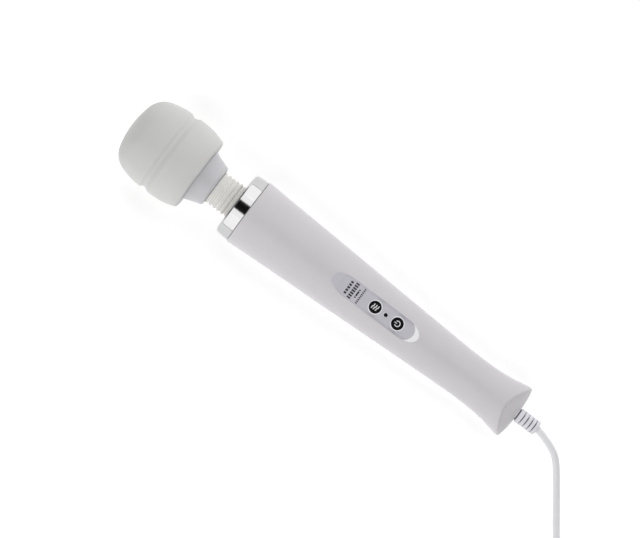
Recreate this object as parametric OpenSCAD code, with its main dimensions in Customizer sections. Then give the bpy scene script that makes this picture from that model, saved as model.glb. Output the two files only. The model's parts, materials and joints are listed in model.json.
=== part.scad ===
// Handheld wand massager with a mains cord, lying on its back on the floor.
// Millimetres. Z is up, the head points to +Y and the buttons face up.
// Inside lay() the wand has its own frame: z runs from the head's tip to the cord, y is the front.

/* [Head] */
// Radius of the straight band on the soft head
head_r = 30; // [29.6:0.1:30.4]
// Wall of the soft cap
cap_wall = 2.5; // [2.2:0.1:2.6]
// Depth of the soft groove round the head
groove_depth = 1; // [0.4:0.1:1.4]
// Radius of the eccentric weight
weight_r = 18; // [14:1:20]
// Angle that the eccentric weight covers
weight_angle = 180; // [120:10:200]

/* [Neck] */
// Mean radius of the ribbed boot
boot_r = 11.7; // [11.5:0.1:11.9]
// Height of each rib above and below the mean
rib_height = 0.5; // [0.3:0.1:0.6]
// Wire radius of the neck spring
neck_wire_r = 0.9; // [0.7:0.1:1]

/* [Handle] */
// Wall of the two handle shells
shell_wall = 2.6; // [2.4:0.1:2.8]
// Width of the recessed control panel
panel_w = 14.1; // [13:0.1:15]
// Radius of the two round buttons
button_r = 4.2; // [3.8:0.1:4.6]
// Height that a button stands above the panel
button_proud = 0.5; // [0.3:0.1:0.8]
// Radius of the indicator lens
lens_r = 1.3; // [1:0.1:1.6]

/* [Drive] */
// Radius of the motor can
motor_r = 14.5; // [13:0.5:15]
// Radius of the motor and head shafts
shaft_r = 2.45; // [2:0.05:2.5]

/* [Cord and plug] */
// Diameter of the mains cord
cord_d = 5; // [4.8:0.1:5.2]
// Radius of the two round plug pins
pin_r = 2; // [1.9:0.1:2.4]
// Distance between the two pins
pin_spacing = 19; // [18:0.5:20]
// Free length of the pins
pin_len = 19; // [16:1:20]

/* [Hidden] */
$fn = 96;
eps = 0.01;
gap = 0.1;
run_gap = 0.05;
head_k = head_r / 30;
cord_r = cord_d / 2;

// stations of the handle along its own axis
top_z = 97.3;
rim_front_z = 312;
rim_side_rise = 8.5;
end_z = 322.3;
half_widths = [[90, 24.6], [97, 24.3], [120, 23.1], [160, 21.3], [200, 19.4], [240, 17.5],
    [265, 16.4], [286, 15.9], [304, 17], [316, 19.2], [320, 19.8], [326, 20.4]];
half_depths = [[90, 24.6], [97, 24.3], [120, 22.9], [160, 20.9], [200, 18.7], [240, 16.6],
    [265, 15.4], [286, 14.8], [304, 15.2], [316, 15.9], [320, 15.9], [326, 15.9]];
ring_count = 32;
half_sides = 16;
end_rings = 3;

// how the wand lies on its head band and its tail rim
lay_tilt = 2.85;
lay_z = 32;
lay_y = 169.42;

// panel and buttons
panel_start = 166;
panel_end = 234.5;
panel_slope = 0.0672;
panel_top_start = 20.1;
panel_thick = 0.7;
ramp_run = 3.8;
mode_z = 202.9;
lens_z = 211.7;
power_z = 221.3;
board_y = 7;
board_thick = 1.6;
switch_top = 10.5;
plunger_top = 11.4;

// neck
collar_end = 69.5;
boot_start = 70;
boot_end = 86.9;
boot_seam = 78.3;
rib_pitch = 3.13;
rib_first = 70.5;

// shell screws: x, z, depth of the head's seat, depth and radius of the chassis post
screw_spots = [[6, 180, 17.3, 14.6, 3], [-6, 180, 17.3, 14.6, 3], [6.5, 272, 12.3, 9.2, 2.6],
    [-6.5, 272, 12.3, 9.2, 2.6]];
board_spots = [[8, 192], [-8, 192], [8, 252], [-8, 252]];

// cord on the floor, in the floor's own frame
relief_r = 5.2;
relief_end = 338.7;
slot_spots = [326, 329.2, 332.4, 335.4];
slot_thick = 0.8;
coil_x = -59;
coil_y = -294;
coil_r = 27.7;
coil_pitch = 5.15;
coil_rings = 4;
coil_w = (coil_rings - 1) * coil_pitch + 2 * cord_r + 0.3;
coil_h = 2 * cord_r + 5.4;
tie_w = 8;
tie_thick = 1;
tie_low = 0.2;
plug_x = -30;
plug_y = -334;
plug_z = 7;
plug_w = 35;
plug_t = 13.7;
plug_l = 32;
plug_low = 0.15;
plug_neck = 14;
plug_taper = 14;
relief_len = 16;
cord_route = [[0, -119, 17.65], [0, -132, 17], [0, -146, 16.3], [0, -158, 15.7], [0, -168.9, 15.15],
    [-1, -173.5, 14.8], [-2.4, -178, 14.1], [-4.3, -183.5, 12.9], [-6.9, -188.4, 11.5],
    [-10.4, -192.4, 10.1], [-14.3, -195.7, 8.7], [-19, -199.4, 7.2], [-25, -204, 5.5], [-33, -210, 3.9],
    [-41, -216, 3], [-49, -222, 2.7], [-56.7, -228.4, 2.6], [-63.9, -235.3, 2.6], [-70.5, -242.8, 2.6],
    [-76.5, -250.8, 2.6], [-81.9, -259.2, 2.6], [-86.6, -268.1, 2.6], [-90, -276, 2.6]];
end_route = [[-70, -332, 7.8], [-64, -333.5, 7.8], [-58, -334, 7.7], [-52, -334, 7.3], [-46, -334, 7],
    [-39, -334, 7]];
motor_lead_route = [[5.5, 8.3, 190], [6.5, 8.8, 184], [7.4, 7.8, 177], [7.6, 4, 171],
    [7.6, 0.6, 167], [7.6, 0, 164.3]];
mains_lead_route = [[3, 9, 257], [3, 7.5, 264], [2, 3, 272], [1.2, 0.5, 282], [1.2, 0, 288]];
lead_r = 0.9;

function arc(cx, cy, r, a0, a1, n) =
    [for (i = [0:n]) [cx + r * cos(a0 + (a1 - a0) * i / n), cy + r * sin(a0 + (a1 - a0) * i / n)]];
function flipped(p) = [for (i = [len(p) - 1:-1:0]) p[i]];
function widened(p, k) = [for (q = p) [q[0] * k, q[1]]];

// smooth curve through the stations of a table
function cell(t, z, i = 0) = i >= len(t) - 2 || z < t[i + 1][0] ? i : cell(t, z, i + 1);
function slope(t, i) =
    let (a = max(i - 1, 0), b = min(i + 1, len(t) - 1)) (t[b][1] - t[a][1]) / (t[b][0] - t[a][0]);
function smooth(t, z) =
    let (i = cell(t, z), h = t[i + 1][0] - t[i][0], u = (z - t[i][0]) / h)
    (2 * u ^ 3 - 3 * u ^ 2 + 1) * t[i][1] + (u ^ 3 - 2 * u ^ 2 + u) * h * slope(t, i)
    + (3 * u ^ 2 - 2 * u ^ 3) * t[i + 1][1] + (u ^ 3 - u ^ 2) * h * slope(t, i + 1);

// outline of the head from its tip down one side, moved inwards
function head_top(inset) = concat(
    arc(0, 62, 62 - inset, -90, -74.57, 5),
    arc(12.24, 17.65, 16 - inset, -74.57, -16.3, 8));
function head_side(inset, low_z) = concat(
    head_top(inset),
    arc(-30, 30, 60 - inset, -16.3, 0, 5),
    arc(-12, 39.5, 42 - inset, 0, asin((low_z - 39.5) / (42 - inset)), 5));
function groove_line() =
    [for (i = [0:10]) [30 - groove_depth * (1 - cos(36 * i)) / 2, 28 + 0.75 * i]];
function head_skin() = concat(
    head_top(0),
    arc(-30, 30, 60, -16.3, -2.2, 4),
    groove_line(),
    arc(-12, 39.5, 42, 0, 20.2, 5),
    arc(24.8, 54, 2.5, 20, 90, 4));

// ribs of the boot
function boot_line(from_z, to_z, n) =
    [for (i = [0:n]) let (z = from_z + (to_z - from_z) * i / n)
        [boot_r + rib_height * cos(360 * (z - rib_first) / rib_pitch), z]];

// one point of a handle shell: turn round the axis, share of the length, inset of the surface
function shell_point(a, u, inset) =
    let (last = rim_front_z + rim_side_rise * cos(a) ^ 2 - inset,
        z = top_z + (last - top_z) * u,
        w = smooth(half_widths, z) - inset,
        d = smooth(half_depths, z) - inset)
    [w * cos(a), d * sin(a), z];
function cap_point(a, s, inset) =
    let (p = shell_point(a, 1, inset))
    [p[0] * s, p[1] * s, end_z - inset - s ^ 2 * (end_z - rim_front_z - rim_side_rise * cos(a) ^ 2)];
function shell_skin(a0, inset) = concat(
    [for (i = [0:ring_count], j = [0:half_sides])
        shell_point(a0 + 180 * j / half_sides, i / ring_count, inset)],
    [for (k = [1:end_rings - 1], j = [0:half_sides])
        cap_point(a0 + 180 * j / half_sides, 1 - k / end_rings, inset)],
    [[0, 0, end_z - inset]]);

rows = ring_count + end_rings;
row_len = half_sides + 1;
skin_len = rows * row_len + 1;
function at(i, j) = i * row_len + j;
tip = skin_len - 1;
outer_faces = concat(
    [for (i = [0:rows - 2], j = [0:half_sides - 1]) [at(i, j), at(i, j + 1), at(i + 1, j + 1)]],
    [for (i = [0:rows - 2], j = [0:half_sides - 1]) [at(i, j), at(i + 1, j + 1), at(i + 1, j)]],
    [for (j = [0:half_sides - 1]) [at(rows - 1, j), at(rows - 1, j + 1), tip]]);
inner_faces = [for (f = outer_faces) [f[0] + skin_len, f[2] + skin_len, f[1] + skin_len]];
mouth_faces = [for (j = [0:half_sides - 1])
    [at(0, j + 1), at(0, j), at(0, j) + skin_len, at(0, j + 1) + skin_len]];
seam_a = [for (i = [0:rows - 2])
    [at(i, 0), at(i + 1, 0), at(i + 1, 0) + skin_len, at(i, 0) + skin_len]];
seam_b = [for (i = [0:rows - 2])
    [at(i + 1, half_sides), at(i, half_sides), at(i, half_sides) + skin_len,
        at(i + 1, half_sides) + skin_len]];
seam_tip = [[at(rows - 1, 0), tip, tip + skin_len, at(rows - 1, 0) + skin_len],
    [tip, at(rows - 1, half_sides), at(rows - 1, half_sides) + skin_len, tip + skin_len]];
shell_faces = concat(outer_faces, inner_faces, mouth_faces, seam_a, seam_b, seam_tip);

// tube through the points of a route
function unit(v) = v / norm(v);
function heading(p, i) = unit(p[min(i + 1, len(p) - 1)] - p[max(i - 1, 0)]);
function tube_ring(p, i, r, sides, ref) =
    let (t = heading(p, i), n = unit(cross(t, ref)), b = cross(n, t))
    [for (k = [0:sides - 1]) p[i] + r * (cos(360 * k / sides) * n + sin(360 * k / sides) * b)];
function tube_points(p, r, sides, ref) =
    [for (i = [0:len(p) - 1]) each tube_ring(p, i, r, sides, ref)];
function tube_faces(count, sides) = concat(
    [for (i = [0:count - 2], k = [0:sides - 1])
        [i * sides + k, (i + 1) * sides + k, (i + 1) * sides + (k + 1) % sides]],
    [for (i = [0:count - 2], k = [0:sides - 1])
        [i * sides + k, (i + 1) * sides + (k + 1) % sides, i * sides + (k + 1) % sides]],
    [[for (k = [0:sides - 1]) k]],
    [[for (k = [sides - 1:-1:0]) (count - 1) * sides + k]]);
module tube(p, r, sides, ref) {
    polyhedron(points = tube_points(p, r, sides, ref), faces = tube_faces(len(p), sides));
}

// puts a piece from the wand's own frame on the floor
module lay() {
    translate([0, lay_y, lay_z]) rotate([90 + lay_tilt, 0, 0]) children();
}
// cylinder from one height to another along the wand
module bar(r, z0, z1, x = 0, y = 0) {
    translate([x, y, z0]) cylinder(r = r, h = z1 - z0);
}
// cylinder that stands on the front: y0 to y1 at a place along the wand
module post(r, y0, y1, z, x = 0) {
    translate([x, y1, z]) rotate([90, 0, 0]) cylinder(r = r, h = y1 - y0);
}
module ring(r_out, r_in, z0, z1) {
    difference() {
        bar(r_out, z0, z1);
        bar(r_in, z0 - 1, z1 + 1);
    }
}
module block(x0, x1, y0, y1, z0, z1) {
    translate([x0, y0, z0]) cube([x1 - x0, y1 - y0, z1 - z0]);
}

// head
module head_cap() {
    color([0.86, 0.86, 0.85]) lay() rotate_extrude() polygon(widened(concat(
        head_skin(),
        flipped(head_side(cap_wall, 54)),
        []), head_k));
}
module head_housing() {
    color([0.9, 0.9, 0.92]) lay() difference() {
        union() {
            rotate_extrude() polygon(widened(concat(
                head_side(cap_wall + gap, 50),
                flipped(head_side(cap_wall + gap + 2, 50))), head_k));
            bar(9, 4, 14);
            for (a = [30, 150, 270]) rotate([0, 0, a]) bar(4.2, 43, 50, 21.3 * head_k);
        }
        bar(6.5, 9, 15);
        bar(3.5, 7, 10);
        for (a = [30, 150, 270]) rotate([0, 0, a]) bar(1.5, 44, 51, 21.3 * head_k);
    }
}
module head_collar() {
    color([0.82, 0.83, 0.87]) lay() difference() {
        rotate_extrude() polygon(concat(
            [[5, 50.2], [24, 50.2], [24, 56.4], [19.5, 56.4], [19.3, 57]],
            arc(13.4, 67.4, 2.1, 20, 90, 5),
            [[11.7, collar_end], [11.7, 61], [5, 61]]));
        bar(6.5, 49, 56);
        for (a = [30, 150, 270]) rotate([0, 0, a]) bar(1.5, 49, 55, 21.3 * head_k);
        for (a = [30, 150, 270]) rotate([0, 0, a]) bar(2.5, 54, 57, 21.3 * head_k);
    }
}
module head_screws() {
    color([0.6, 0.6, 0.62]) lay() for (a = [30, 150, 270]) rotate([0, 0, a]) {
        bar(1.5, 44.5, 54, 21.3 * head_k);
        bar(2.4, 54, 56, 21.3 * head_k);
    }
}
module upper_bearing() {
    color([0.7, 0.71, 0.73]) lay() ring(6.5, shaft_r + run_gap, 9, 14);
}
module lower_bearing() {
    color([0.7, 0.71, 0.73]) lay() ring(6.5, shaft_r + run_gap, 51, 56);
}
module eccentric_shaft() {
    color([0.75, 0.76, 0.78]) lay() bar(shaft_r, 7.6, 66);
}
module eccentric_weight() {
    color([0.55, 0.56, 0.58]) lay() difference() {
        union() {
            bar(6, 18, 46);
            translate([0, 0, 20]) rotate([0, 0, -90 - weight_angle / 2])
                rotate_extrude(angle = weight_angle) square([weight_r, 22]);
        }
        bar(shaft_r, 17, 47);
    }
}
module upper_coupler() {
    color([0.8, 0.68, 0.35]) lay() difference() {
        bar(4.2, 62, 72);
        bar(shaft_r, 61, 66);
        bar(2.2, 65, 73);
    }
}
module flexible_shaft() {
    color([0.5, 0.51, 0.53]) lay() bar(2.2, 66, 102);
}
module lower_coupler() {
    color([0.8, 0.68, 0.35]) lay() difference() {
        bar(4.2, 96, 108);
        bar(2.2, 95, 102.5);
        bar(shaft_r, 102, 109);
    }
}

// neck
module neck_boot_upper() {
    color([0.88, 0.88, 0.85]) lay() rotate_extrude() polygon(concat(
        [[9.9, 63], [11.5, 63], [11.5, boot_start]],
        boot_line(boot_start, boot_seam, 16),
        [[9.9, boot_seam]]));
}
module neck_boot_lower() {
    color([0.88, 0.88, 0.85]) lay() rotate_extrude() polygon(concat(
        [[9.9, boot_seam]],
        boot_line(boot_seam, 85, 13),
        [[12.4, boot_end], [12.4, 88.6], [15, 88.6], [15, 90], [9.9, 90]]));
}
module neck_spring() {
    color([0.62, 0.63, 0.66]) lay() tube(
        [for (i = [0:84]) [8.6 * cos(24 * i), 8.6 * sin(24 * i), 62.6 + 0.335 * i]],
        neck_wire_r, 6, [0, 0, 1]);
}
module neck_guide() {
    color([0.9, 0.9, 0.88]) lay() ring(7.2, 4.6, 77, 80);
}
module chrome_ring() {
    color([0.85, 0.86, 0.88]) lay() rotate_extrude() polygon(concat(
        [[12.8, 86.7], [17, 86.8]],
        arc(21.2, 89, 2, -90, 0, 6),
        [[23.7, 97], [22.4, 97], [22, 89], [21.2, 88.4], [12.8, 88.4]]));
}
module neck_flange() {
    color([0.85, 0.85, 0.87]) lay() rotate_extrude() polygon([[9.9, 90.1], [21.8, 90.1],
        [21.8, 96.9], [21.2, 96.9], [21.2, 102], [19, 102], [19, 94.5], [5.5, 94.5], [5.5, 92.2],
        [9.9, 92.2]]);
}

// handle
module slot_outline(w, z0, z1) {
    translate([-w / 2, z0 + w / 2]) square([w, z1 - z0 - w]);
    translate([0, z0 + w / 2]) circle(r = w / 2);
    translate([0, z1 - w / 2]) circle(r = w / 2);
}
module slot_prism(w, z0, z1) {
    translate([0, 30, 0]) rotate([90, 0, 0]) linear_extrude(28) slot_outline(w, z0, z1);
}
module panel_cone(drop) {
    translate([0, 0, panel_start - 6]) cylinder(h = panel_end - panel_start + 12,
        r1 = panel_top_start + 6 * panel_slope - drop,
        r2 = panel_top_start - (panel_end - panel_start + 6) * panel_slope - drop);
}
function panel_y(z) = panel_top_start - (z - panel_start) * panel_slope;
module pocket() {
    difference() {
        slot_prism(panel_w, panel_start, panel_end);
        panel_cone(panel_thick);
    }
    intersection() {
        translate([0, panel_y(panel_end) + 3, panel_end - panel_w / 2]) rotate([90, 0, 0])
            cylinder(h = 3, r1 = panel_w / 2 + 3 * ramp_run / 1.4, r2 = panel_w / 2);
        block(-panel_w / 2, panel_w / 2, 5, 30, panel_end - panel_w, panel_end + 12);
    }
}
module shell(a0) {
    polyhedron(points = concat(shell_skin(a0, 0), shell_skin(a0, shell_wall)), faces = shell_faces);
}
module front_shell() {
    color([0.87, 0.87, 0.88]) lay() difference() {
        shell(0);
        pocket();
        post(button_r + 0.15, 11, 25, mode_z);
        post(button_r + 0.15, 11, 25, power_z);
        post(lens_r + gap, 11, 25, lens_z);
        bar(5.3, 300, 330);
    }
}
module rear_shell() {
    color([0.87, 0.87, 0.88]) lay() difference() {
        shell(180);
        for (s = screw_spots) post(1.6, -20, -8, s[1], s[0]);
        for (s = screw_spots) post(2.8, -25, -s[2], s[1], s[0]);
        bar(5.3, 302, 330);
    }
}
module chassis() {
    color([0.8, 0.8, 0.82]) lay() difference() {
        union() {
            ring(19.4, 17.5, 113, 120);
            ring(18.3, 17.5, 119, 158);
            ring(18.3, 15.2, 156.5, 158.5);
            for (x = [-16.8, 15.8]) block(x, x + 1, -3, 5, 158, 184);
            block(-16.8, 16.8, 3, 5.2, 176, 186);
            block(-10.5, 10.5, 3.6, 5.4, 185, 260);
            for (x = [-8.6, 4.3]) block(x, x + 4.3, 3.6, 5.4, 259, 276);
            for (s = screw_spots) post(s[4], -s[3], 4, s[1], s[0]);
        }
        for (s = screw_spots) post(1.5, -20, 2.2, s[1], s[0]);
        for (s = board_spots) post(1.1, 3, 6, s[1], s[0]);
        for (a = [45:90:315]) rotate([0, 0, a]) block(14, 22, -9, 9, 123, 147);
    }
}
module shell_screws() {
    color([0.35, 0.35, 0.37]) lay() for (s = screw_spots) {
        post(1.5, -s[2], 2, s[1], s[0]);
        post(2.7, -s[2] - 1.4, -s[2], s[1], s[0]);
    }
}
module control_panel() {
    color([0.72, 0.71, 0.76]) lay() difference() {
        intersection() {
            slot_prism(panel_w - 2 * gap, panel_start + 0.2, panel_end - gap);
            difference() {
                panel_cone(0);
                panel_cone(panel_thick);
            }
        }
        post(button_r + 0.15, 11, 25, mode_z);
        post(button_r + 0.15, 11, 25, power_z);
        post(lens_r + gap, 11, 25, lens_z);
    }
}
module button(z) {
    top = panel_y(z) + button_proud;
    translate([0, 0, z]) rotate([-90, 0, 0]) rotate_extrude() polygon(concat(
        [[0, plunger_top], [2.2, plunger_top], [2.2, top - 4.6], [button_r + 0.9, top - 4.6],
            [button_r + 0.9, top - 3.8], [button_r, top - 3.8]],
        arc(button_r - 0.5, top - 0.6, 0.5, 0, 80, 4),
        [[0, top]]));
}
module mode_button() {
    color([0.08, 0.08, 0.09]) lay() button(mode_z);
}
module power_button() {
    color([0.08, 0.08, 0.09]) lay() button(power_z);
}
module mode_plunger() {
    color([0.9, 0.9, 0.88]) lay() post(1.7, 9.2, plunger_top, mode_z);
}
module power_plunger() {
    color([0.9, 0.9, 0.88]) lay() post(1.7, 9.2, plunger_top, power_z);
}
module indicator_lens() {
    color([0.1, 0.1, 0.11]) lay() post(lens_r, 8.8, panel_y(lens_z) + 0.1, lens_z);
}
module indicator_lamp() {
    color([0.95, 0.9, 0.6]) lay() block(-1.5, 1.5, board_y, 8.6, lens_z - 1.5, lens_z + 1.5);
}
module circuit_board() {
    color([0.1, 0.35, 0.2]) lay() difference() {
        block(-10.5, 10.5, board_y - board_thick, board_y, 186, 258);
        for (s = board_spots) post(1.2, 0, 10, s[1], s[0]);
    }
}
module board_screws() {
    color([0.6, 0.6, 0.62]) lay() for (s = board_spots) {
        post(1.1, 3.7, board_y, s[1], s[0]);
        post(2, board_y, board_y + 1.3, s[1], s[0]);
    }
}
module switch_bodies() {
    color([0.15, 0.15, 0.16]) lay() for (z = [mode_z, power_z]) difference() {
        block(-3, 3, board_y, switch_top, z - 3, z + 3);
        post(1.8, 8.2, 12, z);
    }
}
module capacitor() {
    color([0.2, 0.25, 0.45]) lay() bar(5, 222, 244, 0, -1.42);
}
module terminal_block() {
    color([0.2, 0.45, 0.3]) lay() difference() {
        block(-5.5, 5.5, board_y, 11, 246, 254);
        for (x = [-3, 3]) bar(1.1, 250, 255, x, 9);
    }
}

// drive
module motor_can() {
    color([0.6, 0.61, 0.63]) lay() difference() {
        union() {
            bar(motor_r, 112, 158);
            bar(6, 110, 113);
        }
        bar(motor_r - 1.2, 113.2, 159);
        bar(shaft_r + run_gap, 109, 120);
    }
}
module motor_end_cap() {
    color([0.2, 0.2, 0.21]) lay() difference() {
        union() {
            bar(motor_r, 158, 164);
            bar(6, 163, 167);
        }
        bar(shaft_r + run_gap, 157, 168);
        for (x = [-11, 11]) bar(1, 161, 165, x);
    }
}
module motor_magnets() {
    color([0.3, 0.3, 0.31]) lay() for (a = [-60, 120]) translate([0, 0, 118]) rotate([0, 0, a])
        rotate_extrude(angle = 120) translate([motor_r - 3.7, 0]) square([2.5, 34]);
}
module rotor_core() {
    color([0.7, 0.45, 0.25]) lay() difference() {
        union() {
            bar(motor_r - 4.3, 120, 148);
            bar(5, 147, 156);
        }
        bar(shaft_r, 119, 157);
    }
}
module motor_shaft() {
    color([0.75, 0.76, 0.78]) lay() bar(shaft_r, 102.5, 168.5);
}
module front_motor_mount() {
    color([0.2, 0.2, 0.2]) lay() ring(17.5, motor_r, 114, 120);
}
module rear_motor_mount() {
    color([0.2, 0.2, 0.2]) lay() ring(17.5, motor_r, 150, 156);
}
module motor_leads() {
    color([0.7, 0.2, 0.15]) lay() {
        tube(motor_lead_route, lead_r, 6, [1, 0, 0]);
        tube([for (p = motor_lead_route) [-p[0], p[1], p[2]]], lead_r, 6, [1, 0, 0]);
    }
}
module mains_leads() {
    color([0.4, 0.25, 0.15]) lay() {
        tube(mains_lead_route, lead_r, 6, [1, 0, 0]);
        tube([for (p = mains_lead_route) [-p[0], p[1], p[2]]], lead_r, 6, [1, 0, 0]);
    }
}

// cord
module clamp_base() {
    color([0.85, 0.85, 0.86]) lay() difference() {
        block(-8, 8, -9.2, -0.4, 292, 300);
        bar(cord_r, 291, 301);
        for (x = [-6, 6]) post(1.2, -8, 1, 296, x);
    }
}
module cord_clamp() {
    color([0.85, 0.85, 0.86]) lay() difference() {
        block(-8, 8, 0.4, 4.4, 292, 300);
        bar(cord_r, 291, 301);
        for (x = [-6, 6]) post(1.2, 0, 5, 296, x);
    }
}
module clamp_screws() {
    color([0.6, 0.6, 0.62]) lay() for (x = [-6, 6]) {
        post(1.2, -7.5, 4.4, 296, x);
        post(2.2, 4.4, 6, 296, x);
    }
}
module strain_relief() {
    color([0.84, 0.84, 0.88]) lay() difference() {
        rotate_extrude() polygon(concat(
            [[cord_r, 310], [8, 310], [8, 313], [relief_r, 313]],
            arc(relief_r - 1.3, relief_end - 1.3, 1.3, 0, 90, 4),
            [[cord_r, relief_end]]));
        for (z = slot_spots) for (y = [-relief_r - 1, relief_r - 1.8])
            block(-4, 4, y, y + 2.8, z, z + slot_thick);
    }
}
module power_cord() {
    color([0.84, 0.84, 0.86]) tube(cord_route, cord_r, 10, [0, 0, 1]);
}
module cord_coil() {
    color([0.84, 0.84, 0.86]) translate([coil_x, coil_y, 0]) rotate_extrude()
        polygon(concat(
            arc(coil_r + coil_w / 2 - 2.5, coil_h - 2.5, 2.5, 0, 90, 4),
            arc(coil_r - coil_w / 2 + 2.5, coil_h - 2.5, 2.5, 90, 180, 4),
            arc(coil_r - coil_w / 2 + 2.5, 2.5, 2.5, 180, 270, 4),
            arc(coil_r + coil_w / 2 - 2.5, 2.5, 2.5, 270, 360, 4)));
}
module cord_tie() {
    color([0.15, 0.15, 0.16]) translate([coil_x + coil_r, coil_y, tie_low]) difference() {
        translate([-coil_w / 2 - tie_thick, -tie_w / 2, 0])
            cube([coil_w + 2 * tie_thick, tie_w, coil_h + tie_thick]);
        translate([-coil_w / 2, -tie_w, tie_thick / 2]) cube([coil_w, 2 * tie_w, coil_h - tie_thick / 2]);
    }
}
module plug_lead() {
    color([0.84, 0.84, 0.86]) tube(end_route, cord_r, 10, [0, 0, 1]);
}
// the plug lies beside the coil, and its pins point to +X
module on_plug() {
    translate([plug_x, plug_y, 0]) rotate([0, 0, -90]) children();
}
module plug_relief() {
    color([0.84, 0.84, 0.88]) on_plug() translate([0, 0, plug_z]) rotate([90, 0, 0]) difference() {
        cylinder(h = relief_len, r1 = 5.4, r2 = 3.6);
        translate([0, 0, 2]) cylinder(h = relief_len, r = cord_r);
    }
}
module plug_body() {
    color([0.84, 0.84, 0.88]) on_plug() translate([0, 0, plug_low]) linear_extrude(plug_t)
        polygon([[-plug_neck / 2, 0], [plug_neck / 2, 0], [plug_w / 2, plug_taper], [plug_w / 2, plug_l],
            [-plug_w / 2, plug_l], [-plug_w / 2, plug_taper]]);
}
module plug_pins() {
    color([0.8, 0.8, 0.82]) on_plug() for (s = [-1, 1])
        translate([s * pin_spacing / 2, plug_l + pin_len, plug_z])
            rotate([90, 0, 0]) cylinder(h = pin_len, r = pin_r);
}

head_cap();
head_housing();
head_collar();
head_screws();
upper_bearing();
lower_bearing();
eccentric_shaft();
eccentric_weight();
upper_coupler();
flexible_shaft();
lower_coupler();
neck_boot_upper();
neck_boot_lower();
neck_spring();
neck_guide();
chrome_ring();
neck_flange();
front_shell();
rear_shell();
chassis();
shell_screws();
control_panel();
mode_button();
mode_plunger();
power_button();
power_plunger();
indicator_lens();
indicator_lamp();
circuit_board();
board_screws();
switch_bodies();
capacitor();
terminal_block();
motor_can();
motor_end_cap();
motor_magnets();
rotor_core();
motor_shaft();
front_motor_mount();
rear_motor_mount();
motor_leads();
mains_leads();
clamp_base();
cord_clamp();
clamp_screws();
strain_relief();
power_cord();
cord_coil();
cord_tie();
plug_lead();
plug_relief();
plug_body();
plug_pins();
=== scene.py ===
import bpy, bmesh, json, math
from mathutils import Vector, Matrix


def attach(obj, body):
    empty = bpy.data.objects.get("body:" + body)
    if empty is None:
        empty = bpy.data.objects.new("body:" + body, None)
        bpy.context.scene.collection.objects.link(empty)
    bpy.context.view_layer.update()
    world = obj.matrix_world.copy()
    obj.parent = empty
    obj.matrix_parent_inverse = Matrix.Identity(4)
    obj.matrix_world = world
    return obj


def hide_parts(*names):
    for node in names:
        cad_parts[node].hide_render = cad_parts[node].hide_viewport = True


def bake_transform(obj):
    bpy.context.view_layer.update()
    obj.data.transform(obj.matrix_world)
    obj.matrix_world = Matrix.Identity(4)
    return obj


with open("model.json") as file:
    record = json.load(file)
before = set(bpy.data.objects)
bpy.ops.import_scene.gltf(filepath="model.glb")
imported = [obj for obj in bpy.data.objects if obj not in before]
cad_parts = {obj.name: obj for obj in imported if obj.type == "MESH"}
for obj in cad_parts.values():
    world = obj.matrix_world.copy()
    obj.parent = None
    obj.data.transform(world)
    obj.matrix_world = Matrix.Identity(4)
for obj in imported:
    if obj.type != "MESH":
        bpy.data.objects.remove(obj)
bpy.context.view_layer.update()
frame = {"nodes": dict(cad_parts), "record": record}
MM = 0.001
TILT = math.radians(2.85)
LAY_Y, LAY_Z = 169.42, 32.0


def L(x, y, z):
    """A point of the wand's own frame (mm; z from the head's tip, y to the front) in the row frame (m)."""
    return Vector((x, LAY_Y - y * math.sin(TILT) - z * math.cos(TILT),
                   LAY_Z + y * math.cos(TILT) - z * math.sin(TILT))) * MM


LAY = Matrix(((MM, 0, 0, 0),
              (0, -MM * math.sin(TILT), -MM * math.cos(TILT), LAY_Y * MM),
              (0, MM * math.cos(TILT), -MM * math.sin(TILT), LAY_Z * MM),
              (0, 0, 0, 1)))

# ---------------------------------------------------------------- camera
RIGHT = Vector((0.6009, -0.7994, 0.0))
centre = L(-1.8, 0, 158.4)
back = Vector((0, -math.sin(TILT), math.cos(TILT)))
right = (RIGHT - back * RIGHT.dot(back)).normalized()
up = back.cross(right)
cam_data = bpy.data.cameras.new("camera")
cam_data.lens = 200
cam_data.sensor_width = 36
cam_data.clip_end = 20
cam = bpy.data.objects.new("camera", cam_data)
bpy.context.scene.collection.objects.link(cam)
DIST = 0.4278 * 200 / 36
cam.matrix_world = Matrix.Translation(centre + back * DIST) @ Matrix((
    (right.x, up.x, back.x, 0), (right.y, up.y, back.y, 0), (right.z, up.z, back.z, 0), (0, 0, 0, 1)))
bpy.context.scene.camera = cam


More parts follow.
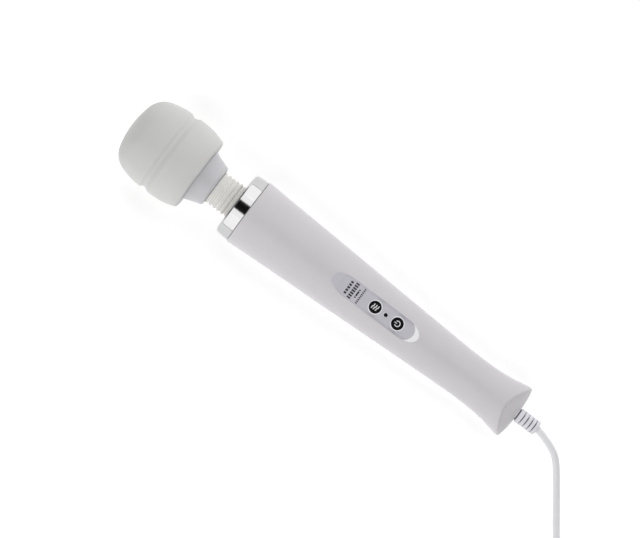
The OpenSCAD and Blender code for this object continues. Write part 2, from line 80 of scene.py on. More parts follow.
# ---------------------------------------------------------------- materials
def material(name, color, rough, metallic=0.0, spec=0.5, tint=0.03, grain=(900, 0.012), mottle=60,
             rough_var=0.05, coat=0.0, sss=0.0, streak=None):
    """Mottled colour, and a fine grain (scale, depth) in the roughness and the bump; streak adds brushing."""
    m = bpy.data.materials.new(name)
    m.use_nodes = True
    nt = m.node_tree
    n, l = nt.nodes, nt.links
    b = n["Principled BSDF"]
    tc = n.new("ShaderNodeTexCoord")
    big = n.new("ShaderNodeTexNoise")
    big.inputs["Scale"].default_value = mottle
    big.inputs["Detail"].default_value = 3
    l.new(tc.outputs["Object"], big.inputs["Vector"])
    ramp = n.new("ShaderNodeValToRGB")
    dark = [c * (1 - tint) for c in color]
    light = [min(1, c * (1 + tint * 0.5)) for c in color]
    ramp.color_ramp.elements[0].position = 0.3
    ramp.color_ramp.elements[0].color = (*dark, 1)
    ramp.color_ramp.elements[1].position = 0.7
    ramp.color_ramp.elements[1].color = (*light, 1)
    l.new(big.outputs["Fac"], ramp.inputs["Fac"])
    l.new(ramp.outputs["Color"], b.inputs["Base Color"])
    fine = n.new("ShaderNodeTexNoise")
    fine.inputs["Scale"].default_value = grain[0]
    fine.inputs["Detail"].default_value = 4
    fine.inputs["Roughness"].default_value = 0.6
    l.new(tc.outputs["Object"], fine.inputs["Vector"])
    mr = n.new("ShaderNodeMapRange")
    mr.inputs["To Min"].default_value = max(0.0, rough - rough_var)
    mr.inputs["To Max"].default_value = min(1.0, rough + rough_var)
    l.new(fine.outputs["Fac"], mr.inputs["Value"])
    l.new(mr.outputs["Result"], b.inputs["Roughness"])
    bump = n.new("ShaderNodeBump")
    bump.inputs["Strength"].default_value = min(1.0, grain[1] * 20)
    bump.inputs["Distance"].default_value = 0.0001
    l.new(fine.outputs["Fac"], bump.inputs["Height"])
    l.new(bump.outputs["Normal"], b.inputs["Normal"])
    if streak:
        st = n.new("ShaderNodeTexNoise")
        mp = n.new("ShaderNodeMapping")
        mp.inputs["Scale"].default_value = streak
        l.new(tc.outputs["Object"], mp.inputs["Vector"])
        l.new(mp.outputs["Vector"], st.inputs["Vector"])
        st.inputs["Scale"].default_value = 1.0
        b2 = n.new("ShaderNodeBump")
        b2.inputs["Strength"].default_value = 0.15
        b2.inputs["Distance"].default_value = 0.00005
        l.new(st.outputs["Fac"], b2.inputs["Height"])
        l.new(bump.outputs["Normal"], b2.inputs["Normal"])
        l.new(b2.outputs["Normal"], b.inputs["Normal"])
    b.inputs["Metallic"].default_value = metallic
    b.inputs["Specular IOR Level"].default_value = spec
    b.inputs["Coat Weight"].default_value = coat
    b.inputs["Coat Roughness"].default_value = 0.1
    if sss:
        b.inputs["Subsurface Weight"].default_value = sss
        b.inputs["Subsurface Radius"].default_value = (1.0, 0.9, 0.8)
        b.inputs["Subsurface Scale"].default_value = 0.002
    return m


M_HEAD = material("silicone", (0.61, 0.608, 0.60), 0.55, spec=0.4, tint=0.02, grain=(1400, 0.010), sss=0.15)
M_BOOT = material("boot_rubber", (0.74, 0.73, 0.70), 0.5, spec=0.4, tint=0.03, grain=(1600, 0.012), sss=0.1)
M_HANDLE = material("handle_plastic", (0.608, 0.592, 0.61), 0.42, spec=0.45, tint=0.015, grain=(2600, 0.008))
M_COLLAR = material("collar_plastic", (0.55, 0.55, 0.575), 0.35, spec=0.5, tint=0.015, grain=(1800, 0.006))
M_CHROME = material("chrome_plate", (0.56, 0.56, 0.565), 0.11, metallic=1.0, tint=0.01, grain=(700, 0.002),
                    rough_var=0.02)
M_PANEL = material("panel_film", (0.54, 0.525, 0.575), 0.5, spec=0.4, tint=0.02, grain=(3000, 0.02))
M_BLACK = material("button_gloss", (0.006, 0.006, 0.008), 0.32, spec=0.12, tint=0.1, grain=(900, 0.003),
                   rough_var=0.04, coat=0.08)
M_WHITE = material("icon_print", (0.75, 0.75, 0.76), 0.45, tint=0.03, grain=(3000, 0.01))
M_MARK = material("mark_print", (0.02, 0.02, 0.024), 0.4, tint=0.1, grain=(3000, 0.01))
# pale trim of the halos; the tail ramp also wears it as a painted highlight
M_HALO = material("halo_trim", (0.90, 0.90, 0.92), 0.35, spec=0.6, tint=0.02, grain=(2000, 0.005))
M_RELIEF = material("relief_rubber", (0.74, 0.735, 0.78), 0.5, spec=0.4, tint=0.03, grain=(1800, 0.012))
M_CORD = material("cord_jacket", (0.77, 0.77, 0.79), 0.48, spec=0.4, tint=0.03, grain=(2200, 0.012),
                  mottle=90)
M_TIE = material("tie_rubber", (0.03, 0.03, 0.033), 0.6, tint=0.1, grain=(1500, 0.02))
M_PIN = material("pin_nickel", (0.75, 0.74, 0.70), 0.18, metallic=1.0, tint=0.02, grain=(900, 0.004),
                 streak=(300, 3000, 3000))
M_SLEEVE = material("pin_sleeve", (0.05, 0.05, 0.055), 0.45, tint=0.05, grain=(1500, 0.01))
# dark grey that paints the shade inside the strain relief's slots and groove
M_PAINTED_SHADE = material("relief_painted_shade", (0.17, 0.17, 0.2), 0.7, spec=0.2, tint=0.05, grain=(1500, 0.01))
M_SCREW = material("screw_steel", (0.35, 0.35, 0.36), 0.35, metallic=1.0, tint=0.05, grain=(1500, 0.02))


# ---------------------------------------------------------------- mesh helpers
def build(name, verts, faces, mat, body=None, replaces=(), slot=None, wand=True, sharp=35):
    """Closed mesh from points in mm; with wand they are in the wand's own frame."""
    me = bpy.data.meshes.new(name)
    me.from_pydata([tuple(v) for v in verts], [], faces)
    if wand:
        me.transform(LAY)
    me.validate()
    bm = bmesh.new()
    bm.from_mesh(me)
    bmesh.ops.remove_doubles(bm, verts=bm.verts, dist=1e-7)
    bmesh.ops.recalc_face_normals(bm, faces=bm.faces)
    bm.to_mesh(me)
    bm.free()
    ob = bpy.data.objects.new(name, me)
    bpy.context.scene.collection.objects.link(ob)
    me.materials.append(mat)
    smooth(ob, sharp)
    finish_piece(ob, body, replaces)
    return ob


def finish_piece(ob, body, replaces):
    if replaces:
        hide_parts(*replaces)
    if body:
        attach(ob, body)


def smooth(ob, angle):
    for p in ob.data.polygons:
        p.use_smooth = True
    ob.data.set_sharp_from_angle(angle=math.radians(angle))


def grid_faces(rows, cols, closed_cols=False, offset=0, flip=False):
    f = []
    for i in range(rows - 1):
        for j in range(cols if closed_cols else cols - 1):
            a, b = offset + i * cols + j, offset + i * cols + (j + 1) % cols
            c, d = b + cols, a + cols
            f.append((a, d, c, b) if flip else (a, b, c, d))
    return f


def tube_faces(rows, seg):
    """Faces of a closed profile of that many points turned all the way round."""
    last = (rows - 1) * seg
    closing = [(last + k, k, (k + 1) % seg, last + (k + 1) % seg) for k in range(seg)]
    return grid_faces(rows, seg, True) + closing


def slab_faces(nr, nc):
    """Faces of two grids of points, one over the other, with the four edges closed."""
    off = nr * nc
    faces = grid_faces(nr, nc) + grid_faces(nr, nc, offset=off, flip=True)
    for i in range(nr - 1):
        for j in (0, nc - 1):
            a, b = i * nc + j, (i + 1) * nc + j
            faces.append((a, b, b + off, a + off))
    for j in range(nc - 1):
        for i in (0, nr - 1):
            a, b = i * nc + j, i * nc + j + 1
            faces.append((a, b, b + off, a + off))
    return faces


def lathe(name, prof, mat, seg=160, **kw):
    """Turns a profile of (r, z) pairs, in mm, round the wand's axis."""
    verts = []
    for r, z in prof:
        for k in range(seg):
            a = 2 * math.pi * k / seg
            verts.append((r * math.cos(a), r * math.sin(a), z))
    return build(name, verts, tube_faces(len(prof), seg), mat, **kw)


def arc(cx, cy, r, a0, a1, n):
    return [(cx + r * math.cos(math.radians(a0 + (a1 - a0) * i / n)),
             cy + r * math.sin(math.radians(a0 + (a1 - a0) * i / n))) for i in range(n + 1)]


def table(t, z):
    """Smooth curve through the stations of a table."""
    i = 0
    while i < len(t) - 2 and z >= t[i + 1][0]:
        i += 1
    h = t[i + 1][0] - t[i][0]
    u = (z - t[i][0]) / h

    def m(k):
        a, b = max(k - 1, 0), min(k + 1, len(t) - 1)
        return (t[b][1] - t[a][1]) / (t[b][0] - t[a][0])
    return ((2 * u**3 - 3 * u**2 + 1) * t[i][1] + (u**3 - 2 * u**2 + u) * h * m(i)
            + (3 * u**2 - 2 * u**3) * t[i + 1][1] + (u**3 - u**2) * h * m(i + 1))


def cut(ob, cutter):
    """Boolean difference, applied; the cutter is removed."""
    mod = ob.modifiers.new("cut", "BOOLEAN")
    mod.operation = "DIFFERENCE"
    mod.solver = "EXACT"
    mod.object = cutter
    dg = bpy.context.evaluated_depsgraph_get()
    me = bpy.data.meshes.new_from_object(ob.evaluated_get(dg))
    ob.modifiers.clear()
    old = ob.data
    ob.data = me
    bpy.data.meshes.remove(old)
    bpy.data.objects.remove(cutter)


# ---------------------------------------------------------------- cord
CORD_D = 5.0
ROUTE = [(0, -158, 15.7), (0, -168.9, 15.15), (-1, -173.5, 14.8), (-2.4, -178, 14.1), (-4.3, -183.5, 12.9),
         (-6.9, -188.4, 11.5), (-10.4, -192.4, 10.1), (-14.3, -195.7, 8.7), (-19, -199.4, 7.2),
         (-25, -204, 5.5), (-33, -210, 3.9), (-41, -216, 3), (-49, -222, 2.7), (-56.7, -228.4, 2.6),
         (-63.9, -235.3, 2.6),
         (-70.5, -242.8, 2.6), (-76.5, -250.8, 2.6), (-81.9, -259.2, 2.6), (-86.6, -268.1, 2.6)]
COIL_X, COIL_Y, COIL_R, COIL_PITCH = -59, -294, 27.7, 5.15
COIL_RINGS, COIL_LOW, COIL_HIGH = 4, 2.6, 7.8
# angles along the coil, in degrees: where it starts, where each kind of change starts, and how long it takes
ENTRY, TURNED = 156, 7 * 360 + 114
INWARD, CLIMB, OUTWARD = 255, 1245, 1500
SHIFT, LAYER_RISE = 105, 90
SWING, SWING_OUT = 80, 4.575
TIE_AT, TIE_SPREAD, TIE_LIFT = 204, 30, 0.9
PER_TURN = 18
LEAD = [(-53, -334, 7.5), (-47, -334, 7.1), (-40, -334, 7)]
PLUG_X, PLUG_Y, PLUG_Z, PLUG_L, RELIEF_LEN = -30, -334, 7, 32, 16
SLOTS, SLOT_THICK = (326, 329.2, 332.4, 335.4), 0.8


def ease(t):
    t = min(1.0, max(0.0, t))
    return t * t * (3 - 2 * t)


def coil_point(turned):
    """The coil's line after so many degrees: four rings inwards on the floor, then four outwards on top."""
    r = COIL_R + COIL_PITCH * (COIL_RINGS - 1) / 2
    for k in range(COIL_RINGS - 1):
        r -= COIL_PITCH * ease((turned - INWARD - 360 * k) / SHIFT)
        r += COIL_PITCH * ease((turned - OUTWARD - 360 * k) / SHIFT)
    r += SWING_OUT * ease((turned - TURNED + SWING) / SWING)
    z = COIL_LOW + (COIL_HIGH - COIL_LOW) * ease((turned - CLIMB) / LAYER_RISE)
    z += TIE_LIFT * ease(1 - abs((turned - TIE_AT + 180) % 360 - 180) / TIE_SPREAD)
    a = math.radians(ENTRY + turned)
    return (COIL_X + r * math.cos(a), COIL_Y + r * math.sin(a), z)


def cord_curve():
    n = round(TURNED / 360 * PER_TURN)
    pts = ROUTE + [coil_point(TURNED * i / n) for i in range(n + 1)] + LEAD
    cu = bpy.data.curves.new("mains_cord", "CURVE")
    cu.dimensions = "3D"
    sp = cu.splines.new("BEZIER")
    sp.bezier_points.add(len(pts) - 1)
    for b, p in zip(sp.bezier_points, pts):
        b.co = Vector(p) * MM
        b.handle_left_type = b.handle_right_type = "AUTO"
    cu.resolution_u = 4
    cu.bevel_depth = CORD_D * MM / 2
    cu.bevel_resolution = 4
    cu.use_fill_caps = True
    cu.materials.append(M_CORD)
    ob = bpy.data.objects.new("mains_cord", cu)
    bpy.context.scene.collection.objects.link(ob)
    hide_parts("power_cord", "cord_coil", "plug_lead")
    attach(ob, "handle")


def plug_frame(me):
    """Places a mesh made in the plug's own frame (mm; origin below the body's back, +Y to the pins)."""
    me.transform(Matrix(((0, MM, 0, PLUG_X * MM), (-MM, 0, 0, PLUG_Y * MM), (0, 0, MM, 0), (0, 0, 0, 1))))


def loft(name, rows, mat, node, sharp=35):
    """Closed skin through rows of points, each row a closed loop, in the plug's own frame."""
    nc = len(rows[0])
    verts = [p for row in rows for p in row]
    faces = grid_faces(len(rows), nc, True)
    faces += [tuple(range(nc)), tuple(range(len(verts) - 1, len(verts) - nc - 1, -1))]
    ob = build(name, verts, faces, mat, wand=False, sharp=sharp)
    plug_frame(ob.data)
    finish_piece(ob, "handle", [node] if node else [])
    return ob


def plug_body():
    rows = []
    n = 56
    for i in range(61):
        y = PLUG_L * i / 60
        t = ease(y / 15)
        w = 7 + 10.5 * (0.25 * min(1, y / 14) + 0.75 * t)
        h = 6.0 + 0.85 * ease(y / 6)
        edge = min(y, PLUG_L - y)
        if edge < 1.2:
            back_off = 1.2 - math.sqrt(1.2**2 - (1.2 - edge) ** 2)
            w -= back_off
            h -= back_off
        grip = 0.45 * max(0.0, math.cos(2 * math.pi * (y - 16) / 2.6)) ** 0.6 if 14.7 < y < 27.7 else 0.0
        row = []
        for k in range(n):
            a = 2 * math.pi * k / n
            c, s = math.cos(a), math.sin(a)
            x = w * math.copysign(abs(c) ** 0.42, c)
            z = h * math.copysign(abs(s) ** 0.42, s)
            if abs(x) > w - 3:
                x -= math.copysign(grip, x)
            dish = 0.7 * ease(1.25 - math.hypot(x / 9.5, (y - 19) / 8.5))
            z -= math.copysign(min(dish, abs(z) * 0.2), z) if abs(s) > 0.3 else 0
            row.append((x, y, PLUG_Z + z))
        rows.append(row)
    return loft("plug_body_shell", rows, M_RELIEF, "plug_body", 40)


def round_rows(prof, x=0.0, seg=40):
    return [[(x + r * math.cos(2 * math.pi * k / seg), y, PLUG_Z + r * math.sin(2 * math.pi * k / seg))
             for k in range(seg)] for y, r in prof]


def plug_relief():
    """Ribbed boot that tapers from the plug's body to the cord."""
    prof = [(-RELIEF_LEN, 2.6), (-RELIEF_LEN, 3.3), (-RELIEF_LEN + 0.35, 3.62)]
    for k in range(4):
        y = -RELIEF_LEN + 1.6 + 3.5 * k
        r = 3.6 + 1.8 * (y + RELIEF_LEN) / RELIEF_LEN
        prof += [(y, r), (y + 0.15, r - 0.15), (y + 0.3, r - 0.85), (y + 1.1, r - 0.8), (y + 1.25, r - 0.05),
                 (y + 1.4, r + 0.12)]
    prof += [(0.6, 5.4), (0.6, 3)]
    return loft("plug_relief_boot", round_rows(prof), M_RELIEF, "plug_relief", 40)


def plug_pins():
    made = []
    for side in (-1, 1):
        x = side * 9.5
        sleeve = [(PLUG_L - 0.5, 1.9), (PLUG_L + 9.4, 1.9), (PLUG_L + 9.6, 1.8)]
        rows = round_rows(sleeve, x)
        made.append(loft("pin_sleeve_%d" % (side + 2), rows, M_SLEEVE, None))
        tip = PLUG_L + 19
        metal = [(PLUG_L + 9.5, 1.75), (PLUG_L + 9.7, 1.98), (tip - 1.9, 1.98)]
        metal += [(tip - 1.9 + 1.88 * math.sin(math.radians(a)), 1.98 * math.cos(math.radians(a)) + 0.01)
                  for a in range(12, 91, 13)]
        made.append(loft("pin_metal_%d" % (side + 2), round_rows(metal, x), M_PIN, "plug_pins"))
    return made


def tie():
    """Hook-and-loop strap round the coil's turns, where three turns lie on four and the inner one climbs."""
    reach, thick, half = 2.5 + 0.45, 0.9, 4.0
    inner, outer = COIL_R - 1.5 * COIL_PITCH, COIL_R + 1.5 * COIL_PITCH
    low, high = COIL_LOW + TIE_LIFT, COIL_HIGH + TIE_LIFT
    lifted = low + (high - low) * ease((TIE_AT - CLIMB % 360) / LAYER_RISE)
    slope = 90 + math.degrees(math.atan2(high - lifted, COIL_PITCH))
    path = []
    for cx, cz, a0, a1 in ((inner, low, 180, 270), (outer, low, 270, 360), (outer, high, 0, 90),
                           (inner + COIL_PITCH, high, 90, slope), (inner, lifted, slope, 180)):
        path += arc(cx, cz, reach, a0, a1, 8)
    t = thick / 2
    cross = [(-t, -half + 0.2), (-t + 0.2, -half), (t - 0.2, -half), (t, -half + 0.2),
             (t, half - 0.2), (t - 0.2, half), (-t + 0.2, half), (-t, half - 0.2)]

    def band(name, pts, closed, lift):
        verts = []
        m = len(pts)
        for i, (r, z) in enumerate(pts):
            p, q = pts[(i - 1) % m if closed or i else i], pts[(i + 1) % m if closed or i < m - 1 else i]
            t = Vector((q[0] - p[0], q[1] - p[1])).normalized()
            for out, y in cross:
                o = out + lift
                verts.append((COIL_X + r + t.y * o, COIL_Y + y, z - t.x * o))
        nc = len(cross)
        if closed:
            faces = tube_faces(m, nc)
        else:
            faces = grid_faces(m, nc, True)
            faces += [tuple(range(nc)), tuple(range(m * nc - 1, (m - 1) * nc - 1, -1))]
        ob = build(name, verts, faces, M_TIE, wand=False)
        ob.data.transform(Matrix.Diagonal((MM, MM, MM, 1)))
        finish_piece(ob, "handle", ["cord_tie"])
        return ob

    made = [band("tie_strap", path, True, 0.0)]
    made.append(band("tie_strap_end", path[12:30], False, thick))
    return made


def strain_relief():
    """Boot of the cord with slots across its front and back, over a dark core of painted shade that shows in
    them and in its groove.
    """
    prof = [(2.55, 309.5), (7.9, 309.5), (7.9, 313), (5.2, 313), (5.2, 321.9), (4.2, 322), (4.2, 323)]
    prof += [(5.2, 323.1)] + arc(3.7, 337.2, 1.5, 0, 90, 10) + [(2.55, 338.7)]
    ob = lathe("strain_relief_boot", prof, M_RELIEF, seg=96, wand=False)
    for z in SLOTS:
        for side in (-1, 1):
            verts = []
            for y in (1.9 * side, 7 * side):
                for zz in (z, z + SLOT_THICK):
                    turn = [math.radians(a) for a in range(-90, 91, 15)]
                    verts += [(4.75 * math.sin(a), y, zz + 0.45 * math.cos(a) - 0.45) for a in turn]
            n = 13
            faces = [(k, k + 1, k + 1 + n, k + n) for k in range(n - 1)]
            faces += [(k + 2 * n, k + 3 * n, k + 1 + 3 * n, k + 1 + 2 * n) for k in range(n - 1)]
            faces += [(k, k + 2 * n, k + 1 + 2 * n, k + 1) for k in range(n - 1)]
            faces += [(k + n, k + 1 + n, k + 1 + 3 * n, k + 3 * n) for k in range(n - 1)]
            faces += [(0, n, 3 * n, 2 * n), (n - 1, 3 * n - 1, 4 * n - 1, 2 * n - 1)]
            cut(ob, build("cutter", verts, faces, M_RELIEF, wand=False))
    ob.data.transform(LAY)
    smooth(ob, 35)
    finish_piece(ob, "handle", ["strain_relief"])
    # dark sleeve inside the boot: painted shade that darkens the slots and the groove
    core = [(2.6, 320), (4.1, 320), (4.25, 321.9), (4.25, 323.1), (4.1, 323.2), (3.25, 324.5), (3.25, 337.2),
            (2.6, 337.3)]
    lathe("strain_relief_painted_shade_core", core, M_PAINTED_SHADE, seg=64, body="handle", slot="cord_plastic")


on_cord = [plug_body(), plug_relief(), *plug_pins(), *tie()]
cord_curve()
strain_relief()


# ---------------------------------------------------------------- head
def head_cap():
    prof = arc(0, 62, 62, -90, -74.57, 16)
    prof[0] = (0.02, 0.0)
    prof += arc(12.24, 17.65, 16, -74.57, -16.3, 26)[1:]
    prof += arc(-30, 30, 60, -16.3, -2.2, 12)[1:]
    for i in range(1, 25):
        t = i / 24
        prof.append((30 - 1.55 * (0.5 - 0.5 * math.cos(2 * math.pi * t ** 0.8)) ** 0.9, 28 + 7.5 * t))
    prof += [(30, 37), (30, 39.5)]
    prof += arc(-12, 39.5, 42, 0, 20.2, 12)[1:]
    prof += arc(24.8, 54, 2.5, 24, 90, 8)[1:]
    prof += [(24.3, 56.5), (24.3, 54.5)]
    prof += arc(-12, 39.5, 39.4, 20, 0, 6) + arc(-30, 30, 57.4, 0, -16, 6)
    prof += arc(12.24, 17.65, 13.4, -16.3, -74.57, 8)
    prof += [(0.02, 2.6)]
    return lathe("head_cap_skin", prof, M_HEAD, seg=220, body="head", replaces=["head_cap"],
                 slot="head_silicone")


def collar():
    prof = [(7.8, 50.4), (23.6, 50.4), (23.9, 50.7), (23.9, 56.3), (19.6, 56.5)]
    prof += arc(18.95, 57.0, 0.45, -60, 20, 4)
    prof += [(18.4, 59.2), (17.7, 61.2), (16.95, 63.3), (16.2, 65.3)]
    prof += arc(13.3, 67.3, 2.25, 20, 90, 8)
    prof += [(12.2, 69.5)] + arc(12.1, 69.2, 0.3, 90, 180, 3) + [(11.8, 61), (7.8, 61)]
    return lathe("head_collar_cup", prof, M_COLLAR, seg=160, body="head", replaces=["head_collar"],
                 slot="collar_plastic")


def boot(name, z0, z1, lead, tail, node):
    prof = list(lead)
    n = int((z1 - z0) * 12)
    for i in range(n + 1):
        z = z0 + (z1 - z0) * i / n
        c = math.cos(2 * math.pi * (z - 70.5) / 3.13)
        r = 11.66 + 0.6 * (c if c < 0 else c ** 0.75)
        prof.append((r, z))
    prof += list(tail)
    ob = lathe(name, prof, M_BOOT, seg=140, replaces=[node], slot="ivory_rubber", sharp=50)
    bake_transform(ob)
    return ob


head_cap()
collar()
boot("boot_upper_sleeve", 70.0, 78.33, [(10.0, 78.33), (10.0, 63), (11.4, 63), (11.4, 69.6)], [],
     "neck_boot_upper")
boot("boot_lower_sleeve", 78.33, 85.4, [(10.0, 90), (10.0, 78.33)],
     [(11.75, 85.8), (12.05, 86.3), (12.3, 86.9), (12.35, 88.6), (15, 88.6), (15, 90)],
     "neck_boot_lower")


def chrome_ring():
    prof = [(12.7, 88.4), (12.7, 87.0)] + arc(13.0, 87.0, 0.3, 180, 270, 3)
    prof += [(15, 86.66), (17.5, 86.72), (19.5, 86.86), (20.8, 87.02)]
    prof += arc(21.15, 89.05, 2.05, -88, 0, 14)
    prof += [(23.35, 91), (23.55, 94), (23.68, 96.7)] + arc(23.4, 96.75, 0.28, 0, 90, 4)
    prof += [(22.5, 97.03), (22.4, 96.8), (22, 89.2), (21.2, 88.4)]
    return lathe("chrome_ring_plate", prof, M_CHROME, seg=220, body="handle", replaces=["chrome_ring"],
                 slot="chrome")


chrome_ring()

# ---------------------------------------------------------------- handle
TOP, RIM, RISE, END = 97.3, 312.0, 8.5, 322.3
WIDTHS = [(90, 24.6), (97, 24.3), (120, 23.1), (160, 21.3), (200, 19.4), (240, 17.5), (265, 16.4),
          (286, 15.9), (304, 17), (316, 19.2), (320, 19.8), (326, 20.4)]
DEPTHS = [(90, 24.6), (97, 24.3), (120, 22.9), (160, 20.9), (200, 18.7), (240, 16.6), (265, 15.4),
          (286, 14.8), (304, 15.2), (316, 15.9), (320, 15.9), (326, 15.9)]


def on_end(x, y):
    w, d = 19.7, 15.9
    return END - (END - RIM - RISE) * (x / w) ** 2 - (END - RIM) * (y / d) ** 2


def handle_half(name, side, node):
    """One shell of the handle and its wall; points go round the half, rows from the ring to the tail."""
    cols = [0, 0.05, 0.1, 0.16, 0.24, 0.34, 0.5, 0.8, 1.4]
    n = 88
    cols = [math.degrees(c / 20.0) for c in cols] + [6 + 168 * i / n for i in range(n + 1)]
    cols += [180 - c for c in cols[8::-1]]
    # rows: (kind, value, side inset)
    rows = [("top", 1 - math.cos(a), 1 - math.sin(a)) for a in [math.pi / 2 * i / 5 for i in range(6)]]
    body_rows = 150
    rows += [("side", (i + 0.5) / body_rows, 0) for i in range(body_rows)]
    rows += [("rim", math.sin(a), 1 - math.cos(a)) for a in [math.pi / 2 * i / 7 for i in range(8)]]
    rows += [("end", 1 - i / 16, 0) for i in range(1, 17)]
    EDGE, RC = 0.5, 1.9

    def point(kind, v, ins, deg, layer):
        a = math.radians(deg)
        c, s = math.cos(a), math.sin(a)
        rim = RIM + RISE * c * c
        thick = 2.3 * layer
        if kind == "top":
            z = TOP + EDGE * v
            i = EDGE * ins
        elif kind == "side":
            z0, z1 = TOP + EDGE, rim - RC
            z = z0 + (z1 - z0) * v
            i = 0
        else:
            z = rim - RC + RC * (v if kind == "rim" else 1)
            i = RC * (ins if kind == "rim" else 1)
        if layer and kind in ("rim", "end"):
            z = rim - RC - 1.2
        w, d = table(WIDTHS, z), table(DEPTHS, z)
        dy = min(d * s, 1.0)
        seam = 0.35 - math.sqrt(max(0.0, 0.35**2 - max(0.0, 0.35 - dy) ** 2)) if dy < 0.35 else 0
        i += seam * 0.8
        x, y = (w - i - thick) * c, (d - i - thick) * s
        if kind == "end":
            x, y = 5.35 * c + (x - 5.35 * c) * v, 5.35 * s + (y - 5.35 * s) * v
            z = on_end(x, y) - thick
            # meets the rounded rim smoothly
            drop = on_end((w - RC) * c, (d - RC) * s) - rim
            z -= (drop if not layer else 0) * v**6
        return (x, side * (y + 0.06), z)

    verts = []
    nc = len(cols)
    for layer in (0, 1):
        for k, v, ins in rows:
            for deg in cols:
                verts.append(point(k, v, ins, deg, layer))
    return build(name, verts, slab_faces(len(rows), nc), M_HANDLE, slot="handle_plastic", replaces=[node],
                 wand=False, sharp=40)


# recessed panel: floor of the pocket, and its outline with a ramp at each end
PW, P0, P1 = 14.1, 166.0, 234.5
RAMP_TAIL, RAMP_HEAD = 3.8, 7.5
OVERSHOOT = 3  # how far the cutter carries on past the skin


def floor_y(x, z, drop=0.0):
    r = 20.1 - (z - P0) * 0.0672 - drop
    return math.sqrt(max(1.0, r * r - x * x))


def skin_y(x, z):
    w, d = table(WIDTHS, z), table(DEPTHS, z)
    return d * math.sqrt(max(0.01, 1 - (x / w) ** 2))


def outline(w, z0, z1, n_arc, n_side, ramp0, ramp1):
    """Rows down a round-ended slot: z and half width at the floor, and how far a ramp pushes each out."""
    r = w / 2
    rows = []
    for i in range(n_arc + 1):
        a = math.pi / 2 * i / n_arc
        rows.append((z0 + r - r * math.cos(a), r * math.sin(a), -ramp0 * math.cos(a) ** 1.6))
    for i in range(1, n_side):
        rows.append((z0 + r + (z1 - z0 - w) * i / n_side, r, 0.0))
    for i in range(n_arc + 1):
        a = math.pi / 2 * i / n_arc
        rows.append((z1 - r + r * math.sin(a), r * math.cos(a), ramp1 * math.sin(a) ** 1.6))
    return rows


def pocket_cutter():
    """Solid that cuts the pocket, with its sides sloped out along the ramps."""
    rows = outline(PW, P0 + RAMP_HEAD, P1, 20, 40, RAMP_HEAD, RAMP_TAIL)
    nx = 16
    verts = []
    for top in (0, 1):
        for z, h, push in rows:
            h = max(h, 0.01)
            for k in range(nx + 1):
                x = -h + 2 * h * k / nx
                if not top:
                    verts.append((x, floor_y(x, z, 0.02), z))
                else:
                    rise = skin_y(x, z + push) - floor_y(x, z, 0.02)
                    verts.append((x, floor_y(x, z, 0.02) + rise * OVERSHOOT, z + push * OVERSHOOT))
    return build("cutter", verts, slab_faces(len(rows), nx + 1), M_HANDLE, wand=False)


def post(r, y0, y1, z, x=0.0, seg=64):
    """Round cutter across the wand, from y0 to y1."""
    verts = []
    for y in (y0, y1):
        for k in range(seg):
            a = 2 * math.pi * k / seg
            verts.append((x + r * math.cos(a), y, z + r * math.sin(a)))
    faces = [(k, (k + 1) % seg, seg + (k + 1) % seg, seg + k) for k in range(seg)]
    faces += [tuple(range(seg)), tuple(range(2 * seg - 1, seg - 1, -1))]
    return build("hole", verts, faces, M_HANDLE, wand=False)


MODE_Z, LENS_Z, POWER_Z = 202.9, 211.7, 221.3
BR = 4.2
front = handle_half("front_shell_skin", 1, "front_shell")
cut(front, pocket_cutter())
for z in (MODE_Z, POWER_Z):
    cut(front, post(BR + 0.25, 5, 30, z))
cut(front, post(1.42, 5, 30, LENS_Z))
front.data.transform(LAY)
smooth(front, 32)
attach(front, "handle")

rear = handle_half("rear_shell_skin", -1, "rear_shell")
SCREWS = [(6, 180, 17.3), (-6, 180, 17.3), (6.5, 272, 12.3), (-6.5, 272, 12.3)]
for x, z, seat in SCREWS:
    cut(rear, post(2.95, -30, -seat + 0.05, z, x))
rear.data.transform(LAY)
smooth(rear, 32)
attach(rear, "handle")


def turned(name, prof, mat, z, x=0.0, seg=96, **kw):
    """Profile of (r, y) pairs turned round an axis that stands on the front."""
    verts = []
    for r, y in prof:
        for k in range(seg):
            a = 2 * math.pi * k / seg
            verts.append((x + r * math.cos(a), y, z + r * math.sin(a)))
    return build(name, verts, tube_faces(len(prof), seg), mat, **kw)


def box_cutter(x0, x1, y0, y1, z0, z1):
    verts = [(x, y, z) for x in (x0, x1) for y in (y0, y1) for z in (z0, z1)]
    faces = [(0, 1, 3, 2), (4, 6, 7, 5), (0, 4, 5, 1), (2, 3, 7, 6), (0, 2, 6, 4), (1, 5, 7, 3)]
    return build("cutter", verts, faces, M_SCREW, wand=False)


def shell_screw(k, x, z, seat):
    """Pan head with a cross recess, in a pocket of the rear shell."""
    face = -seat - 1.4
    prof = [(0.01, -seat + 3), (1.35, -seat + 3), (1.35, -seat), (2.65, -seat), (2.7, face + 0.7)]
    prof += [(2.45, face + 0.22), (1.9, face + 0.04), (0.01, face)]
    ob = turned("shell_screw_%d" % k, prof, M_SCREW, z, x, wand=False, seg=64)
    for dx, dz in ((1.5, 0.3), (0.3, 1.5)):
        cut(ob, box_cutter(x - dx, x + dx, face - 1, face + 0.9, z - dz, z + dz))
    ob.data.transform(LAY)
    smooth(ob, 32)
    finish_piece(ob, "handle", ["shell_screws"])


for k, (x, z, seat) in enumerate(SCREWS):
    shell_screw(k + 1, x, z, seat)


def film_y(x, z):
    """Top of the printed film: it rises in a soft scoop at the head's end."""
    scoop = ease((P0 + RAMP_HEAD + 3 - z) / 3)
    return floor_y(x, z) + 0.10 + (skin_y(x, z) - floor_y(x, z) - 0.06) * scoop


